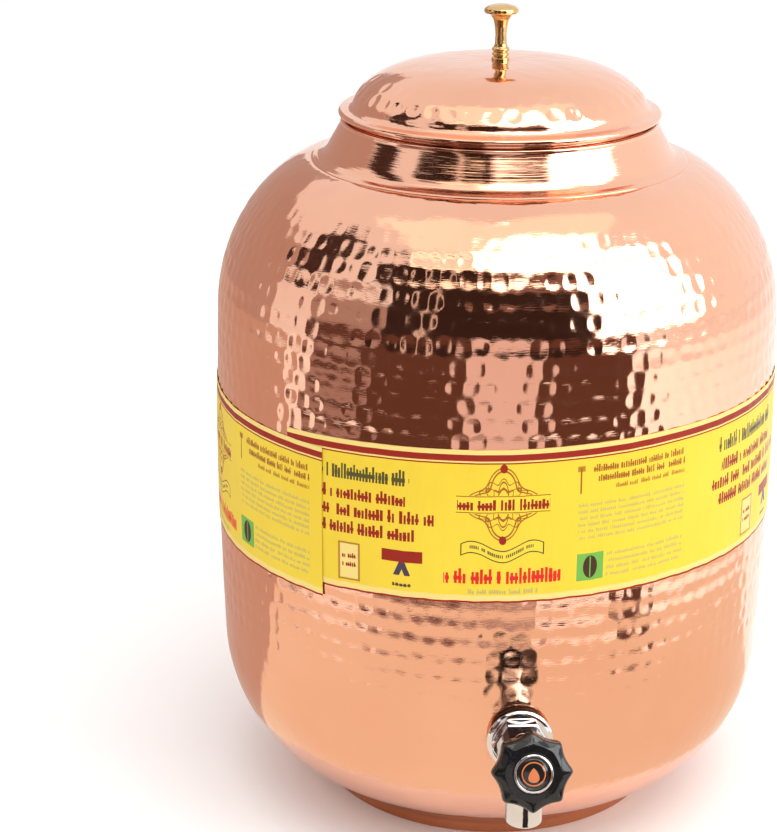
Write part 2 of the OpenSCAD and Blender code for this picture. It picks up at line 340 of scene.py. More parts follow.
@dataclass(frozen=True)
class MouldedFinish:
    """Moulded plastic or rubber.

    Args:
        name: name of the material.
        color: main colour.
        worn: colour of scuffs and dust.
        roughness: roughness.
        coat: gloss coat over it.
    """

    name: str
    color: tuple[float, float, float] = (0.008, 0.008, 0.009)
    worn: tuple[float, float, float] = (0.03, 0.029, 0.028)
    roughness: float = 0.09
    coat: float = 0.0

    def material(self) -> bpy.types.Material:
        """Build the plastic with fine orange peel, scuffs and dust."""
        g = Graph(self.name)
        scuffs = g.ramp(g.noise(g.place((1, 1, 3)), 420, 5, 0.65), ((0.52, 0), (0.78, 1)))
        color = g.mix(g.math("MULTIPLY", scuffs, 0.5), self.color, self.worn)
        rough = g.math("MULTIPLY_ADD", scuffs, 0.12, self.roughness)
        normal = g.bump(g.noise(g.place(), 900, 2), 0.00003)
        return g.surface(color, rough, normal, Coat_Weight=self.coat, Coat_Roughness=0.08)


@dataclass(frozen=True)
class CapFinish:
    """Glossy black cap with a generic printed drop inside a plain ring, both in dull orange.

    Args:
        name: name of the material.
        centre: centre of the cap's face.
        across: direction across the face, to the right.
        up: direction up the face.
    """

    name: str
    centre: Vector
    across: Vector
    up: Vector
    ink: tuple[float, float, float] = (0.60, 0.17, 0.05)

    def material(self) -> bpy.types.Material:
        """Build the cap: black gloss, a ring and a drop from plain distances."""
        g = Graph(self.name)
        coords = g.node("ShaderNodeTexCoord").outputs["Object"]
        offset = g.node("ShaderNodeVectorMath", operation="SUBTRACT")
        g.put(offset.inputs[0], coords)
        offset.inputs[1].default_value = self.centre
        flat = []
        for way in (self.across, self.up):
            dot = g.node("ShaderNodeVectorMath", operation="DOT_PRODUCT")
            g.put(dot.inputs[0], offset.outputs[0])
            dot.inputs[1].default_value = way
            flat.append(g.math("MULTIPLY", dot.outputs["Value"], 1 / MM))
        x, y = flat
        ring_shape = g.math("SQRT", g.math("ADD", g.math("MULTIPLY", x, x), g.math("MULTIPLY", y, y)))
        ring = g.math("LESS_THAN", g.math("ABSOLUTE", g.math("SUBTRACT", ring_shape, 3.9)), 0.22)
        narrow = g.math("MULTIPLY_ADD", y, -0.28, 1.15)
        side = g.math("DIVIDE", x, g.math("MAXIMUM", narrow, 0.1))
        tall = g.math("MULTIPLY", g.math("ADD", y, 0.4), 0.55)
        drop_shape = g.math("SQRT", g.math("ADD", g.math("MULTIPLY", side, side), g.math("MULTIPLY", tall, tall)))
        drop = g.math("LESS_THAN", drop_shape, 1.35)
        mark = g.math("MAXIMUM", ring, drop)
        color = g.mix(mark, (0.013, 0.012, 0.012), self.ink)
        rough = g.math("MULTIPLY_ADD", g.noise(g.place(), 500, 3), 0.08, 0.10)
        return g.surface(color, rough, Coat_Weight=0.5, Coat_Roughness=0.04)


class Sheet:
    """Print on a flat sheet: masks of simple shapes in millimetres, inked one over the other."""

    def __init__(self, graph: Graph, length: float, height: float, period: float) -> None:
        """Read the sheet's UV map and turn it into millimetres.

        Args:
            graph: the material's graph.
            length: length of the sheet.
            height: height of the sheet.
            period: length after which the print repeats.
        """
        self.g = graph
        uv = graph.node("ShaderNodeUVMap", uv_map="Print").outputs[0]
        parts = graph.node("ShaderNodeSeparateXYZ")
        graph.put(parts.inputs[0], uv)
        self.along = graph.math("MULTIPLY", parts.outputs[0], length)
        self.y = graph.math("MULTIPLY", parts.outputs[1], height)
        shifted = graph.math("ADD", self.along, 12.0)
        self.x = graph.math("SUBTRACT", graph.math("MODULO", shifted, period), 12.0)
        self.color: object = rgba((1, 1, 1))

    def within(self, value: object, low: float, high: float) -> bpy.types.NodeSocket:
        """1 where a value lies between two limits."""
        g = self.g
        away = g.math("ABSOLUTE", g.math("SUBTRACT", value, (low + high) / 2))
        return g.math("LESS_THAN", away, (high - low) / 2)

    def box(self, x0: float, x1: float, y0: float, y1: float) -> bpy.types.NodeSocket:
        """Mask of an upright rectangle."""
        return self.g.math("MULTIPLY", self.within(self.x, x0, x1), self.within(self.y, y0, y1))

    def lines(self, x0: float, x1: float, y0: float, rows: int, pitch: float, fill: float, stroke: float
              ) -> bpy.types.NodeSocket:
        """Mask of rows of short strokes, in groups, that stand for lines of print without being letters.

        Args:
            x0: left end.
            x1: right end.
            y0: foot of the lowest row.
            rows: number of rows.
            pitch: distance between rows.
            fill: inked share of a row's height.
            stroke: distance between strokes in millimetres.

        Returns:
            The mask's socket.
        """
        g = self.g
        up = g.math("DIVIDE", g.math("SUBTRACT", self.y, y0), pitch)
        row = g.math("FLOOR", up)
        high = g.math("DIVIDE", g.math("FRACT", up), fill)
        across = g.math("DIVIDE", self.x, stroke)
        cell, inside = g.math("FLOOR", across), g.math("FRACT", across)
        chance = []
        for size in (1.0, 0.2):
            spot = g.node("ShaderNodeCombineXYZ")
            g.put(spot.inputs[0], g.math("FLOOR", g.math("MULTIPLY", cell, size)))
            g.put(spot.inputs[1], g.math("ADD", row, y0))
            dice = g.node("ShaderNodeTexWhiteNoise", noise_dimensions="2D")
            g.put(dice.inputs["Vector"], spot.outputs[0])
            chance.append(dice)
        split = g.node("ShaderNodeSeparateColor")
        g.put(split.inputs[0], chance[0].outputs["Color"])
        top = g.math("MULTIPLY_ADD", split.outputs[0], 0.42, 0.62)
        width = g.math("MULTIPLY_ADD", split.outputs[1], 0.16, 0.26)
        stem = g.math("LESS_THAN", g.math("ABSOLUTE", g.math("SUBTRACT", inside, 0.5)), width)
        stem = g.math("MULTIPLY", stem, g.math("LESS_THAN", high, top))
        bridge = g.math("LESS_THAN", g.math("ABSOLUTE", g.math("SUBTRACT", high, 0.36)), 0.13)
        bridge = g.math("MULTIPLY", bridge, g.math("GREATER_THAN", split.outputs[2], 0.35))
        shape = g.math("MAXIMUM", stem, bridge)
        step = g.math("SUBTRACT", cell, g.math("MULTIPLY", g.math("FLOOR", g.math("MULTIPLY", cell, 0.2)), 5.0))
        gap = g.math("LESS_THAN", g.math("ABSOLUTE", g.math("SUBTRACT", step, g.math(
            "FLOOR", g.math("MULTIPLY", chance[1].outputs["Value"], 7.0)))), 0.5)
        shape = g.math("MULTIPLY", shape, g.math("SUBTRACT", 1.0, gap))
        return g.math("MULTIPLY", self.box(x0, x1, y0, y0 + rows * pitch), shape)

    def polar(self, x: float, y: float, squash: float) -> tuple[bpy.types.NodeSocket, bpy.types.NodeSocket]:
        """Distance and angle from a point, with heights stretched by a factor."""
        g = self.g
        dx = g.math("SUBTRACT", self.x, x)
        dy = g.math("MULTIPLY", g.math("SUBTRACT", self.y, y), squash)
        far = g.math("SQRT", g.math("ADD", g.math("MULTIPLY", dx, dx), g.math("MULTIPLY", dy, dy)))
        return far, g.math("ARCTAN2", dy, dx)

    def ink(self, mask: object, color: tuple[float, float, float], strength: float = 1.0) -> None:
        """Print a colour wherever a mask is 1."""
        amount = mask if strength == 1.0 else self.g.math("MULTIPLY", mask, strength)
        self.color = self.g.mix(amount, self.color, color)


@dataclass(frozen=True)
class LabelFinish:
    """Coated yellow paper with a generic print: stripes, a rosette, a ribbon, dashes for text and an icon.

    Args:
        name: name of the material.
        length: length that the print's own map spans, in millimetres.
        height: height of the paper in millimetres.
        period: repeat of the print in millimetres.
    """

    name: str
    length: float
    height: float
    period: float = 165.0
    paper: tuple[float, float, float] = (0.80, 0.60, 0.045)
    cream: tuple[float, float, float] = (0.82, 0.63, 0.20)
    maroon: tuple[float, float, float] = (0.30, 0.018, 0.008)
    red: tuple[float, float, float] = (0.66, 0.020, 0.014)
    brown: tuple[float, float, float] = (0.34, 0.11, 0.012)
    grey: tuple[float, float, float] = (0.50, 0.42, 0.12)
    green: tuple[float, float, float] = (0.16, 0.42, 0.07)

    def stripes(self, s: Sheet) -> None:
        """Pale margins with a thick and a thin stripe at the top and a thin one at the foot."""
        top = self.height
        s.ink(s.within(s.y, top - 4.7, top + 1), self.cream)
        s.ink(s.within(s.y, top - 4.0, top - 1.7), self.maroon)
        s.ink(s.within(s.y, top - 5.1, top - 4.6), self.maroon)
        s.ink(s.within(s.y, 0.7, 2.8), self.cream)
        s.ink(s.within(s.y, -1, 0.7), self.maroon)

    def heading(self, s: Sheet) -> None:
        """Heading block: one dark and three bold rows of dashes, with two small emblems under them."""
        s.ink(s.lines(6, 51.5, 41.8, 1, 6.2, 0.95, 1.25), (0.09, 0.075, 0.02))
        for row, (start, end) in enumerate(((8, 50.1), (2.8, 60.4), (7, 53.7))):
            s.ink(s.lines(start, end, 34.4 - 6.4 * row, 1, 4.7, 0.98, 1.45), self.maroon)
        s.ink(s.box(24.0, 33.0, 3.8, 18.3), self.brown, 0.8)
        s.ink(s.box(24.8, 32.2, 4.5, 17.6), self.cream)
        s.ink(s.lines(25.6, 31.4, 9.0, 2, 3.2, 0.6, 0.8), self.maroon)
        s.ink(s.box(41.5, 56.5, 13.6, 18.0), self.maroon)
        for side in (-1, 1):
            lean = s.g.math("ABSOLUTE", s.g.math("SUBTRACT", s.x, s.g.math(
                "MULTIPLY_ADD", s.g.math("SUBTRACT", 13.6, s.y), side * 0.42, 49.0)))
            s.ink(s.g.math("MULTIPLY", s.g.math("LESS_THAN", lean, 1.1), s.within(s.y, 8.6, 13.6)),
                  (0.07, 0.05, 0.08))
        s.ink(s.lines(45.5, 52.5, 4.4, 1, 1.6, 0.9, 1.5), (0.10, 0.06, 0.03))

    def rosette(self, s: Sheet) -> None:
        """Plain rosette of looped curves, crossed by two rules and one row of dashes."""
        g = s.g
        far, angle = s.polar(84.3, 36.6, 1.0)
        for size, petals, swing, width in ((9.6, 4, 0.26, 0.34), (6.6, 8, 0.24, 0.34), (11.0, 4, 0.20, 0.26),
                                           (4.2, 4, 0.35, 0.4), (8.4, 12, 0.12, 0.22), (5.4, 12, 0.14, 0.22)):
            wave = g.math("COSINE", g.math("MULTIPLY", angle, petals))
            edge = g.math("MULTIPLY_ADD", wave, size * swing, size)
            s.ink(g.math("LESS_THAN", g.math("ABSOLUTE", g.math("SUBTRACT", far, edge)), width), self.brown)
        for y in (49.6, 23.4):
            point, _ = s.polar(84.3, y, 0.8)
            s.ink(g.math("LESS_THAN", point, 1.3), self.maroon)
        s.ink(s.box(67.5, 101.2, 33.3, 39.9), self.paper)
        s.ink(s.box(68.0, 100.6, 39.4, 39.75), self.brown)
        s.ink(s.box(68.0, 100.6, 33.5, 33.85), self.brown)
        s.ink(s.lines(68.4, 100.4, 34.5, 1, 4.3, 0.95, 1.3), self.maroon)

    def ribbon(self, s: Sheet) -> None:
        """Ribbon that dips in the middle, the row of red dashes under it and a fine row at the foot."""
        g = s.g
        dip = g.math("COSINE", g.math("MULTIPLY", g.math("SUBTRACT", s.x, 84.3), 0.30))
        lift = g.math("SUBTRACT", s.y, g.math("MULTIPLY_ADD", dip, -1.9, 19.2))
        s.ink(g.math("MULTIPLY", s.within(lift, -2.3, 2.3), s.within(s.x, 69.8, 98.7)), (0.05, 0.04, 0.02))
        s.ink(g.math("MULTIPLY", s.within(lift, -1.9, 1.9), s.within(s.x, 70.2, 98.3)), self.paper)
        s.ink(g.math("MULTIPLY", s.within(lift, -0.6, 0.6), s.lines(73, 95, 12, 1, 14, 9.0, 0.7)),
              (0.12, 0.09, 0.04))
        s.ink(s.lines(64.0, 104.8, 7.2, 1, 6.0, 0.98, 1.5), self.red)
        s.ink(s.lines(72.6, 96.9, 3.3, 1, 2.3, 0.9, 0.85), self.grey)

    def panel(self, s: Sheet) -> None:
        """Text panel: brown and grey rows of dashes, and a green square with a plain leaf."""
        g = s.g
        s.ink(s.lines(114, 160, 46.0, 1, 2.8, 0.95, 0.85), self.brown)
        s.ink(s.lines(117.5, 156, 42.4, 1, 2.8, 0.95, 0.85), self.brown)
        s.ink(s.lines(124, 158, 39.2, 1, 2.0, 0.9, 0.65), self.brown, 0.8)
        s.ink(s.box(110.9, 111.5, 38.6, 48.0), self.brown)
        s.ink(s.box(109.9, 112.6, 46.6, 48.6), self.brown, 0.8)
        s.ink(s.lines(110.5, 160, 21.6, 6, 2.4, 0.62, 0.75), self.grey, 0.85)
        s.ink(s.lines(121.2, 159, 6.6, 4, 2.6, 0.58, 0.75), self.grey, 0.85)
        s.ink(s.box(110.5, 120.3, 6.1, 16.3), self.green)
        leaf, _ = s.polar(115.4, 11.2, 0.62)
        s.ink(g.math("LESS_THAN", leaf, 2.6), (0.06, 0.03, 0.012))
        s.ink(s.box(115.2, 115.6, 7.4, 15.0), self.green)

    def material(self) -> bpy.types.Material:
        """Build the printed paper, with a satin coat, slight yellowing and faint creases."""
        g = Graph(self.name)
        s = Sheet(g, self.length, self.height, self.period)
        aged = g.ramp(g.noise(g.place(), 24, 3), ((0.3, 0), (0.8, 1)))
        s.color = g.mix(g.math("MULTIPLY", aged, 0.5), self.paper, (0.76, 0.50, 0.03))
        self.rosette(s)
        self.ribbon(s)
        self.heading(s)
        self.panel(s)
        self.stripes(s)
        creases = g.ramp(g.noise(g.place((1, 1, 0.35)), 70, 4), ((0.3, 0), (0.75, 1)))
        rough = g.math("MULTIPLY_ADD", creases, 0.12, 0.30)
        return g.surface(s.color, rough, g.bump(creases, 0.0005), Specular_IOR_Level=0.18)


# ---------------------------------------------------------------------------------------------------------
# Mesh tools
# ---------------------------------------------------------------------------------------------------------

TAP = Matrix.Translation((0, 0, TAP_HEIGHT * MM)) @ Matrix.Rotation(math.radians(90), 4, "X")
CHAMBER = TAP @ Matrix.Translation((0, 0, SPINDLE_REACH * MM))
SPINDLE = CHAMBER @ Matrix.Rotation(math.radians(-SPINDLE_LEAN), 4, "X")


def rounded(points: Sequence[tuple[float, float, float]], steps: int = 4) -> Outline:
    """Round the corners of a closed outline.

    Args:
        points: radius, height and corner radius of each corner, in millimetres.
        steps: pieces of each rounding.

    Returns:
        The outline with its corners rounded.
    """
    made: Outline = []
    count = len(points)
    for i, (x, y, size) in enumerate(points):
        here = Vector((x, y))
        back = Vector(points[i - 1][:2]) - here
        ahead = Vector(points[(i + 1) % count][:2]) - here
        if size <= 0 or back.length < 1e-6 or ahead.length < 1e-6:
            made.append((x, y))
            continue
        reach = min(size / max(math.tan(back.angle(ahead) / 2), 0.05), 0.48 * back.length, 0.48 * ahead.length)
        start, end = here + back.normalized() * reach, here + ahead.normalized() * reach
        for k in range(steps + 1):
            t = k / steps
            spot = (1 - t) ** 2 * start + 2 * t * (1 - t) * here + t * t * end
            made.append((spot.x, spot.y))
    return made


def lathe(outline: Outline, steps: int = 96, closed: bool = True, where: Optional[Matrix] = None,
          arcs: Optional[Sequence[float]] = None) -> bmesh.types.BMesh:
    """Turn an outline about +Z: a slice is spun, and its turned copies are joined, which is quick for many steps.

    Args:
        outline: radius and height of each point, in millimetres.
        steps: steps round the turn.
        closed: join the last point to the first.
        where: frame of the turned shape.
        arcs: number kept on each outline point, in the vertex layer "arc".

    Returns:
        The turned mesh.
    """
    slices = max(count for count in range(1, 33) if steps % count == 0)
    wedge = bmesh.new()
    layer = wedge.verts.layers.float.new("arc") if arcs is not None else None
    ring = [wedge.verts.new((r * MM, 0, z * MM)) for r, z in outline]
    if layer is not None:
        for vert, value in zip(ring, arcs):
            vert[layer] = value
    pairs = list(zip(ring, ring[1:])) + ([(ring[-1], ring[0])] if closed else [])
    edges = [wedge.edges.new(pair) for pair in pairs]
    bmesh.ops.spin(wedge, geom=ring + edges, cent=(0, 0, 0), axis=(0, 0, 1), dvec=(0, 0, 0),
                   angle=math.tau / slices, steps=steps // slices, use_merge=False, use_duplicate=False)
    first = bpy.data.meshes.new("wedge")
    wedge.to_mesh(first)
    wedge.free()
    bm = bmesh.new()
    for k in range(slices):
        turned = first.copy()
        turned.transform(Matrix.Rotation(math.tau * k / slices, 4, "Z"))
        bm.from_mesh(turned)
        bpy.data.meshes.remove(turned)
    bpy.data.meshes.remove(first)
    bmesh.ops.remove_doubles(bm, verts=bm.verts, dist=MERGE)
    bmesh.ops.recalc_face_normals(bm, faces=bm.faces)
    if where is not None:
        bmesh.ops.transform(bm, matrix=where, verts=bm.verts)
    return bm


def hexagon(across_flats: float, z0: float, z1: float, crown: float, where: Matrix) -> bmesh.types.BMesh:
    """Hexagonal block with softened edges and turned-off corners, with a corner upwards.

    Args:
        across_flats: size across the flats, in millimetres.
        z0: height of the lower face.
        z1: height of the upper face.
        crown: radius that the corners are turned down to at both faces.
        where: frame of the block.

    Returns:
        The block's mesh.
    """
    bm = bmesh.new()
    bmesh.ops.create_cone(bm, cap_ends=True, segments=6, radius1=across_flats / math.sqrt(3) * MM,
                          radius2=across_flats / math.sqrt(3) * MM, depth=(z1 - z0) * MM,
                          matrix=Matrix.Translation((0, 0, (z0 + z1) / 2 * MM)) @ Matrix.Rotation(
                              math.radians(30), 4, "Z"))
    bmesh.ops.bevel(bm, geom=[e for e in bm.edges if abs(e.verts[0].co.z - e.verts[1].co.z) > 1e-5],
                    offset=0.5 * MM, segments=3, profile=0.5, affect="EDGES", material=-1)
    bmesh.ops.subdivide_edges(bm, edges=[e for e in bm.edges if abs(e.verts[0].co.z - e.verts[1].co.z) > 1e-5],
                              cuts=8, use_grid_fill=True)
    half = (z1 - z0) / 2
    for vert in bm.verts:
        flat = Vector((vert.co.x, vert.co.y))
        away = abs(vert.co.z / MM - (z0 + z1) / 2)
        limit = (crown + 1.6 * max(0.0, 1 - (away / half) ** 6)) * MM
        if flat.length > limit:
            vert.co.x, vert.co.y = flat * (limit / flat.length)
    bmesh.ops.recalc_face_normals(bm, faces=bm.faces)
    bmesh.ops.transform(bm, matrix=where, verts=bm.verts)
    return bm


def add_piece(name: str, bm: bmesh.types.BMesh, material: bpy.types.Material, body: str,
              stands_for: Sequence[str] = (), sharp: float = 35.0) -> bpy.types.Object:
    """Turn a mesh into a piece of the object, smooth except at its sharp edges.

    Args:
        name: name of the piece.
        bm: its mesh, which is freed.
        material: its finish.
        body: the body it moves with.
        stands_for: the CAD nodes it stands for.
        sharp: angle in degrees above which an edge stays sharp.

    Returns:
        The new object.
    """
    mesh = bpy.data.meshes.new(name)
    bm.to_mesh(mesh)
    bm.free()
    mesh.materials.append(material)
    mesh.shade_smooth()
    mesh.set_sharp_from_angle(angle=math.radians(sharp))
    made = bpy.data.objects.new(name, mesh)
    bpy.context.scene.collection.objects.link(made)
    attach(made, body)
    if stands_for:
        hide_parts(*stands_for)
    return made


def dressed(node: str, material: bpy.types.Material) -> None:
    """Give a carried-over CAD node its finish.

    Args:
        node: name of the node.
        material: its finish.
    """
    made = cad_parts[node]
    made.data.materials.clear()
    made.data.materials.append(material)


def read_points(mesh: bpy.types.Mesh) -> np.ndarray:
    """Vertices of a mesh as rows of x, y and z in metres."""
    points = np.empty(len(mesh.vertices) * 3, np.float32)
    mesh.vertices.foreach_get("co", points)
    return points.reshape(-1, 3).astype(float)


def write_points(mesh: bpy.types.Mesh, points: np.ndarray) -> None:
    """Put moved vertices back into a mesh."""
    mesh.vertices.foreach_set("co", points.astype(np.float32).ravel())
    mesh.update()


# ---------------------------------------------------------------------------------------------------------
# Pot
# ---------------------------------------------------------------------------------------------------------

def run_of(points: np.ndarray) -> np.ndarray:
    """Length along a dense outline at each of its points."""
    return np.concatenate([[0], np.cumsum(np.linalg.norm(np.diff(points, axis=0), axis=1))])


@dataclass(frozen=True)
class DimpleField:
    """Rows of round hammer marks that run level round a body of revolution.

    Args:
        rows: place along the outline in millimetres, and strength, of each row.
        count: marks round the body.
        radius: radius of a mark in millimetres.
        depth: depth of a mark in millimetres.
        stray: how far a mark strays from its row in millimetres.
        seed: seed of the strays.
    """

    rows: tuple[tuple[float, float], ...]
    count: int
    radius: float = 3.25
    depth: float = 0.30
    stray: float = 0.35
    seed: int = 7

    def depth_at(self, angle: np.ndarray, arc: np.ndarray, radius: np.ndarray) -> np.ndarray:
        """Depth of the marks at points of the surface.

        Args:
            angle: angle round the axis, in radians.
            arc: place along the outline, in millimetres.
            radius: distance from the axis, in millimetres.

        Returns:
            Depth in millimetres at each point.
        """
        rng = np.random.default_rng(self.seed)
        depth = np.zeros(len(angle))
        pitch = math.tau / self.count
        for place, strength in self.rows:
            shift = rng.uniform(0, 1)
            aside = rng.normal(0, self.stray, self.count)
            along = rng.normal(0, self.stray * 0.7, self.count)
            size = self.radius * rng.uniform(0.84, 1.14, self.count)
            force = self.depth * strength * rng.uniform(0.55, 1.2, self.count)
            near = np.flatnonzero(np.abs(arc - place) < self.radius * 1.4 + 2 * self.stray)
            turn = angle[near] / pitch + shift
            for step in (-1, 0, 1):
                mark = np.round(turn) + step
                index = mark.astype(int) % self.count
                across = (turn - mark) * pitch * radius[near] - aside[index]
                up = arc[near] - place - along[index]
                t = (across ** 2 + up ** 2) / size[index] ** 2
                bowl = np.where(t < 1, force[index] * np.maximum(1 - t, 0) ** 1.12, 0)
                depth[near] = np.maximum(depth[near], bowl)
        return depth


def beat(mesh: bpy.types.Mesh, points: np.ndarray, marks: DimpleField, swell: float) -> None:
    """Beat rows of marks into the outer face of a turned sheet, and leave its face a little uneven.

    Args:
        mesh: the turned mesh, with the place along its outline in the attribute "arc", and -1 elsewhere.
        points: dense outline in millimetres.
        marks: the rows of marks.
        swell: unevenness in millimetres.
    """
    run = run_of(points)
    way = np.gradient(points, run, axis=0)
    arc = np.empty(len(mesh.vertices), np.float32)
    mesh.attributes["arc"].data.foreach_get("value", arc)
    co = read_points(mesh)
    outside = np.flatnonzero(arc >= 0)
    angle = np.arctan2(co[outside, 1], co[outside, 0])
    place = arc[outside].astype(float)
    radius = np.hypot(co[outside, 0], co[outside, 1]) / MM
    depth = marks.depth_at(angle, place, radius)
    waves = np.sin(9 * angle + 0.11 * place) * np.sin(0.19 * place + 1.3) + 0.8 * np.sin(
        23 * angle - 0.07 * place) * np.sin(0.31 * place)
    inward = (depth + swell * (1 + 0.5 * waves)) * MM
    normal_r, normal_z = np.interp(place, run, way[:, 1]), -np.interp(place, run, way[:, 0])
    sign = 1.0 if points[-1, 1] > points[0, 1] else -1.0
    co[outside, 0] -= sign * inward * normal_r * np.cos(angle)
    co[outside, 1] -= sign * inward * normal_r * np.sin(angle)
    co[outside, 2] -= sign * inward * normal_z
    write_points(mesh, co)
    mesh.attributes.remove(mesh.attributes["arc"])


@dataclass
class PotShell:
    """Hammered body, its base plate, foot ring and neck.

    Args:
        copper: finish of the hammered sheet.
        spun: finish of the neck.
        dark: finish of the foot ring.
        sheet: thickness of the sheet in millimetres.
        steps: steps round the body.
        seam: height at which the body's two meshes meet, under the label.
    """

    copper: bpy.types.Material
    spun: bpy.types.Material
    dark: bpy.types.Material
    sheet: float = SHEET
    steps: int = 690
    seam: float = 144.0
    rows: tuple[tuple[float, float], ...] = (
        (79.4, 0.75), (86.3, 0.8), (93.3, 0.9), (100.9, 1.0), (108.4, 1.0), (115.4, 0.8),
        (166.5, 0.8), (173.3, 1.0), (179.6, 1.0), (186.0, 1.0), (192.8, 1.0), (199.4, 1.0), (206.2, 1.0),
        (213.6, 1.0), (220.9, 1.0), (227.3, 1.0), (233.0, 0.75), (237.8, 0.4))

    @staticmethod
    def wall_radius(z: object) -> object:
        """Radius of the gently bulging wall at a height, both in millimetres."""
        return 107.2 - 1.2 * ((z - 127) / 65) ** 2

    @staticmethod
    def outline() -> np.ndarray:
        """Dense outline of the body, from the foot to the neck, in millimetres."""
        turn = np.linspace(0, math.pi / 2, 400)
        bottom = np.stack([72 + 34 * np.sin(turn) ** 1.227, 11.2 + 50.8 * (1 - np.cos(turn))], 1)
        high = np.linspace(62, 192, 400)
        wall = np.stack([PotShell.wall_radius(high), high], 1)
        back = turn[::-1]
        shoulder = np.stack([69.4 + 36.6 * np.sin(back) ** 1.29, 249 - 57 * (1 - np.cos(back))], 1)
        return np.concatenate([bottom, wall[1:], shoulder[1:]])

    def shell(self, z0: float, z1: float, sparse: tuple[float, float], pitch: float) -> bmesh.types.BMesh:
        """One closed part of the body's sheet.

        Args:
            z0: lower end.
            z1: upper end.
            sparse: heights between which the rows may be far apart.
            pitch: distance between rows elsewhere.

        Returns:
            The turned mesh with the place along the outline in the layer "arc", and -1 inside.
        """
        points = self.outline()
        run = run_of(points)
        starts = [float(np.interp(z, points[:, 1], run)) for z in (z0, sparse[0], sparse[1], z1)]
        places: list[float] = []
        for a, b, gap in zip(starts, starts[1:], (pitch, 6.0, pitch)):
            if b - a > 1e-3:
                places += list(np.linspace(a, b, max(2, round((b - a) / gap) + 1))[:-1])
        places.append(starts[-1])
        outer = [(float(np.interp(s, run, points[:, 0])), float(np.interp(s, run, points[:, 1]))) for s in places]
        inner: Outline = []
        for s in np.linspace(starts[-1], starts[0], 18):
            here = np.array([np.interp(s, run, points[:, 0]), np.interp(s, run, points[:, 1])])
            way = np.array([np.interp(s + 0.5, run, points[:, 0]) - np.interp(s - 0.5, run, points[:, 0]),
                            np.interp(s + 0.5, run, points[:, 1]) - np.interp(s - 0.5, run, points[:, 1])])
            way = way / np.linalg.norm(way)
            inner.append(tuple(here + self.sheet * np.array([-way[1], way[0]])))
        inner[0] = (outer[-1][0], outer[-1][1] - self.sheet) if z1 > 240 else (inner[0][0], z1)
        inner[-1] = (outer[0][0], outer[0][1] + self.sheet) if z0 < 20 else (inner[-1][0], z0)
        return lathe(outer + inner, self.steps, arcs=list(places) + [-1.0] * len(inner))

    def build(self) -> None:
        """Build the body's two meshes, the base plate, the foot ring and the neck."""
        points = self.outline()
        run = run_of(points)
        rows = tuple((float(np.interp(z, points[:, 1], run)), strength) for z, strength in self.rows)
        for name, nodes, z0, z1, sparse, pitch in (
                ("pot_upper", ["pot_wall", "pot_shoulder"], self.seam, 249.0, (self.seam, 163.0), 0.86),
                ("pot_lower", ["pot_bottom", "pot_wall"], 11.2, self.seam, (119.0, self.seam), 1.03)):
            made = add_piece(name, self.shell(z0, z1, sparse, pitch), self.copper, "pot", nodes,
                             60)
            beat(made.data, points, DimpleField(rows, 104), 0.05)
        plate = lathe([(0, 11.2), (71.5, 11.2), (71.9, 11.4), (71.9, 12.1), (71.7, 12.2), (0, 12.2)], 128, False)
        add_piece("base_sheet", plate, self.copper, "pot", ["base_plate"])
        foot = rounded([(66.1, 0, 0.5), (67.6, 0, 0.7), (67.6, 4, 2.5), (70.4, 8.6, 3), (71.9, 10.9, 0.5),
                        (71.6, 11.2, 0.1), (70.2, 11.2, 0.2), (66.1, 4.1, 2.5)], 5)
        add_piece("foot_band", lathe(foot, 256), self.dark, "pot", ["foot_ring"])
        self.neck()

    def neck(self) -> None:
        """Spun neck with the bead at its foot and the rolled lip."""
        wall = [(64.2 - 5.3 * s, 252.6 + s * 9.6, 0.0) for s in np.linspace(0.0, 0.97, 10)]
        lip = [(58.2 + 0.8 * math.cos(a), 262.8 + 0.8 * math.sin(a), 0.0)
               for a in np.radians(np.linspace(-30, 215, 14))]
        inside = [(r - self.sheet, z, 0.0) for r, z, _ in reversed(wall)]
        foot = [(68.3, 246, 0.2), (69.35, 246, 0.2), (69.35, 248.6, 0), (70.0, 248.7, 0.15), (70.1, 249.1, 0.3),
                (69.3, 249.5, 0.4), (67.6, 250.0, 1.5), (65.6, 250.9, 1.5)]
        outline = rounded(foot + wall + lip + inside + [(63.0, 251.6, 0.8), (68.3, 248.6, 0.5)], 4)
        add_piece("neck", lathe(outline, 360), self.spun, "pot", ["neck_collar"], 50)


